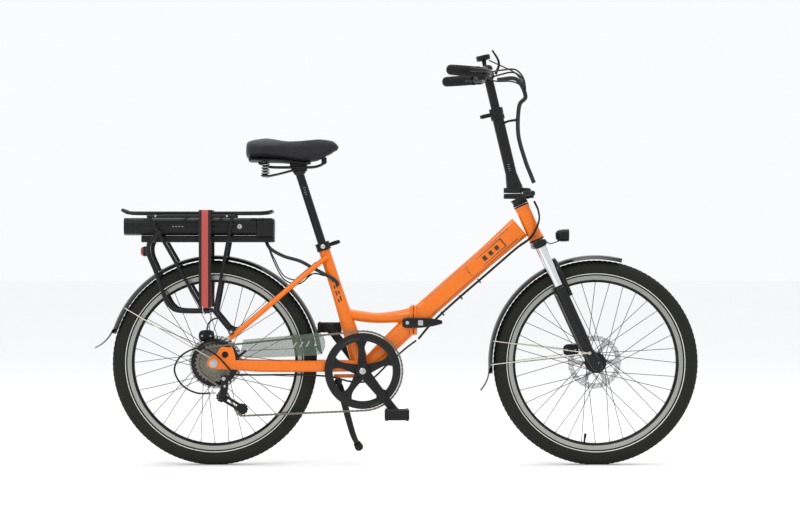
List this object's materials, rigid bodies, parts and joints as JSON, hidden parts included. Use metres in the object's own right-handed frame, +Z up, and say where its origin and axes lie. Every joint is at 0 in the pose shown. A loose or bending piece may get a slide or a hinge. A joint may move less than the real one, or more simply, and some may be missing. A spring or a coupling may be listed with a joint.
{
  "type": "electric folding bicycle",
  "caption": "Small-wheeled electric bicycle that folds at the frame and at the handlebar post, with a rear-rack battery, mudguards and disc brakes",
  "frame": {"origin": "bottom centre of the bounding box, on the ground between the wheels", "axes": "+X forward, +Y the rider's left, +Z up"},
  "size_m": [1.7888, 0.5884, 1.2337],
  "materials": {
    "orange_paint": "glossy orange paint",
    "black_alloy": "satin black paint on alloy",
    "levers": "black anodised alloy",
    "steel": "plain steel",
    "spokes": "black steel wire",
    "rims": "machined silver side wall on an alloy rim",
    "tyres": "black tyre with a pale reflective line",
    "rubber": "black rubber",
    "saddle_cover": "black synthetic leather",
    "black_plastic": "black moulded plastic",
    "lamp_red": "red lens",
    "strap": "black and red elastic webbing"
  },
  "bodies": {
    "rear_frame": {"battery_dock": "black_plastic", "chain": "steel", "chainstay_left": "orange_paint", "chainstay_right": "orange_paint", "derailleur": "black_alloy", "luggage_strap": "strap", "main_frame_rear": "orange_paint", "rack_deck": "black_alloy", "rack_side_left": "black_alloy", "rack_side_right": "black_alloy", "rear_brake_caliper": "black_alloy", "rear_cables": "rubber", "rear_light": "lamp_red", "rear_mudguard": "black_plastic", "seat_clamp": "black_alloy", "seatstay_left": "orange_paint", "seatstay_right": "orange_paint"},
    "battery": {"battery": "black_plastic"},
    "rear_wheel": {"rear_brake_rotor": "steel", "rear_hub_motor": "black_alloy", "rear_rim": "rims", "rear_spokes": "spokes", "rear_tyre": "tyres"},
    "freewheel": {"freewheel": "steel"},
    "crankset": {"chain_guard_ring": "black_plastic", "chainring": "black_alloy", "left_crank": "black_alloy", "right_crank": "black_alloy"},
    "right_pedal": {"right_pedal": "black_plastic"},
    "left_pedal": {"left_pedal": "black_plastic"},
    "kickstand": {"kickstand": "black_alloy"},
    "seatpost": {"saddle": "saddle_cover", "saddle_rails": "steel", "seatpost": "black_alloy"},
    "seat_clamp_lever": {"seat_clamp_lever": "levers"},
    "frame_latch": {"frame_latch": "levers"},
    "front_frame": {"down_tube_cables": "rubber", "main_frame_front": "orange_paint"},
    "fork": {"fork_crown": "black_alloy", "headlight": "black_plastic"},
    "fork_lowers": {"fork_lowers": "black_alloy", "front_brake_caliper": "black_alloy", "front_mudguard": "black_plastic"},
    "front_wheel": {"front_brake_rotor": "steel", "front_hub": "black_alloy", "front_rim": "rims", "front_spokes": "spokes", "front_tyre": "tyres"},
    "stem": {"stem_cables": "rubber", "stem_post_lower": "black_alloy"},
    "stem_latch": {"stem_latch": "levers"},
    "post_clamp_lever": {"post_clamp_lever": "levers"},
    "handlebar": {"display": "black_plastic", "grip_left": "rubber", "grip_right": "rubber", "handlebar": "black_alloy"},
    "bar_clamp_lever": {"bar_clamp_lever": "levers"},
    "brake_lever_left": {"brake_lever_left": "levers"},
    "brake_lever_right": {"brake_lever_right": "levers"},
    "shifter_lever": {"shifter_lever": "black_plastic"}
  },
  "joints": [
    {"name": "frame_fold", "type": "hinge", "parent": "rear_frame", "child": "front_frame", "pos_m": [0.05141, 0.047, 0.4275], "axis": [0, 0, 1], "range_deg": [0, 145]},
    {"name": "frame_latch", "type": "hinge", "parent": "rear_frame", "child": "frame_latch", "pos_m": [0.02541, -0.036, 0.421], "axis": [0, 0, -1], "range_deg": [0, 100]},
    {"name": "steering", "type": "hinge", "parent": "front_frame", "child": "fork", "pos_m": [0.37125, 0, 0.76999], "axis": [-0.4115, 0, 0.9114], "range_deg": [-45, 45]},
    {"name": "fork_travel", "type": "slide", "parent": "fork", "child": "fork_lowers", "axis": [-0.4115, 0, 0.9114], "range_m": [0, 0.04], "stiffness_N_per_m": 8000, "springref_m": -0.02},
    {"name": "front_wheel_spin", "type": "hinge", "parent": "fork_lowers", "child": "front_wheel", "pos_m": [0.59241, 0, 0.30204], "axis": [0, 1, 0], "continuous": true},
    {"name": "stem_fold", "type": "hinge", "parent": "fork", "child": "stem", "pos_m": [0.38982, -0.034, 0.80416], "axis": [0.7071, 0.7071, 0], "range_deg": [0, 165]},
    {"name": "stem_latch", "type": "hinge", "parent": "stem", "child": "stem_latch", "pos_m": [0.32859, 0.02722, 0.81416], "axis": [0, 0, 1], "range_deg": [0, 100]},
    {"name": "post_height", "type": "slide", "parent": "stem", "child": "handlebar", "axis": [0.2317, 0, -0.9728], "range_m": [0, 0.06]},
    {"name": "post_clamp", "type": "hinge", "parent": "stem", "child": "post_clamp_lever", "pos_m": [0.2995, -0.0262, 1.04055], "axis": [-0.2317, 0, 0.9728], "range_deg": [0, 100]},
    {"name": "bar_clamp", "type": "hinge", "parent": "handlebar", "child": "bar_clamp_lever", "pos_m": [0.29612, 0.016, 1.15939], "axis": [0, 1, 0], "range_deg": [0, 60]},
    {"name": "brake_left", "type": "hinge", "parent": "handlebar", "child": "brake_lever_left", "pos_m": [0.27047, 0.19456, 1.15339], "axis": [0, 0, 1], "range_deg": [0, 14], "stiffness_Nm_per_rad": 0.5, "springref_deg": -17.19},
    {"name": "brake_right", "type": "hinge", "parent": "handlebar", "child": "brake_lever_right", "pos_m": [0.27047, -0.19456, 1.15339], "axis": [0, 0, -1], "range_deg": [0, 14], "stiffness_Nm_per_rad": 0.5, "springref_deg": -17.19},
    {"name": "shifter", "type": "hinge", "parent": "handlebar", "child": "shifter_lever", "pos_m": [0.24853, -0.16812, 1.12689], "axis": [0, 0, 1], "range_deg": [0, 25], "stiffness_Nm_per_rad": 0.2, "springref_deg": -17.19},
    {"name": "seat_height", "type": "slide", "parent": "rear_frame", "child": "seatpost", "axis": [0.3057, 0, -0.9521], "range_m": [0, 0.12]},
    {"name": "seat_clamp", "type": "hinge", "parent": "rear_frame", "child": "seat_clamp_lever", "pos_m": [-0.21659, 0.0272, 0.64652], "axis": [-0.3057, 0, 0.9521], "range_deg": [0, 100]},
    {"name": "crank_spin", "type": "hinge", "parent": "rear_frame", "child": "crankset", "pos_m": [-0.09859, 0, 0.279], "axis": [0, 1, 0], "continuous": true},
    {"name": "right_pedal_spin", "type": "hinge", "parent": "crankset", "child": "right_pedal", "pos_m": [0.0021, 0, 0.15466], "axis": [0, 1, 0], "continuous": true},
    {"name": "left_pedal_spin", "type": "hinge", "parent": "crankset", "child": "left_pedal", "pos_m": [-0.19928, 0, 0.40334], "axis": [0, 1, 0], "continuous": true},
    {"name": "freewheel_spin", "type": "hinge", "parent": "rear_frame", "child": "freewheel", "pos_m": [-0.53759, 0, 0.30204], "axis": [0, 1, 0], "continuous": true},
    {"name": "rear_wheel_spin", "type": "hinge", "parent": "rear_frame", "child": "rear_wheel", "pos_m": [-0.53759, 0, 0.30204], "axis": [0, 1, 0], "continuous": true},
    {"name": "kickstand_swing", "type": "hinge", "parent": "rear_frame", "child": "kickstand", "pos_m": [-0.17159, 0.015, 0.2455], "axis": [0, 1, 0], "range_deg": [0, 90]},
    {"name": "battery_slide", "type": "slide", "parent": "rear_frame", "child": "battery", "axis": [-1, 0, 0], "range_m": [0, 0.4]}
  ],
  "couplings": [
    {"joint": "freewheel_spin", "follows": "crank_spin", "ratio": 2.4167}
  ]
}
